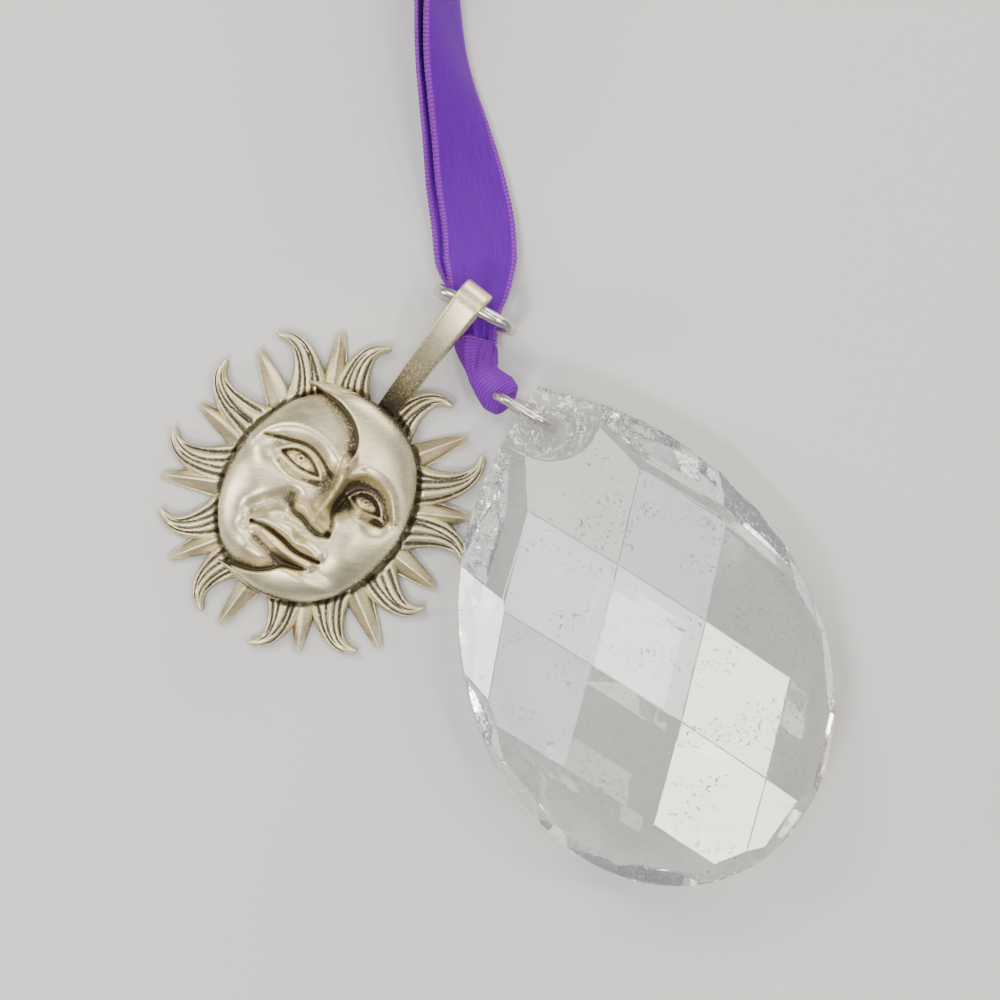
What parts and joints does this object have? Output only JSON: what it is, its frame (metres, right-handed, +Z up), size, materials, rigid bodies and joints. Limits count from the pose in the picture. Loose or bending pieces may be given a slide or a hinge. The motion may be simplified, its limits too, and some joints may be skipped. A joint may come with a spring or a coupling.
{
  "type": "crystal suncatcher",
  "caption": "Faceted clear crystal pear and a cast sun-and-moon face charm hung together on a doubled satin ribbon loop, made to hang in a window and throw light.",
  "frame": {"origin": "on the table under the middle of the crystal and the sun charm, measured without the ribbon", "axes": "+Z up from the table, +X from the sun charm to the crystal, +Y along the ribbon towards its hanging end"},
  "size_m": [0.0654, 0.1913, 0.0126],
  "materials": {
    "crystal": "polished clear cut crystal",
    "pewter": "brushed cast pewter with dark antiquing in the recesses",
    "ring_wire": "bright drawn wire",
    "satin_ribbon": "woven satin ribbon with looped edges"
  },
  "bodies": {
    "root": {"crystal_drop": "crystal", "crystal_ring": "ring_wire", "sun_pendant": "pewter", "bail_ring": "ring_wire", "ribbon_loop": "satin_ribbon", "ribbon_hitch": "satin_ribbon"}
  },
  "joints": []
}
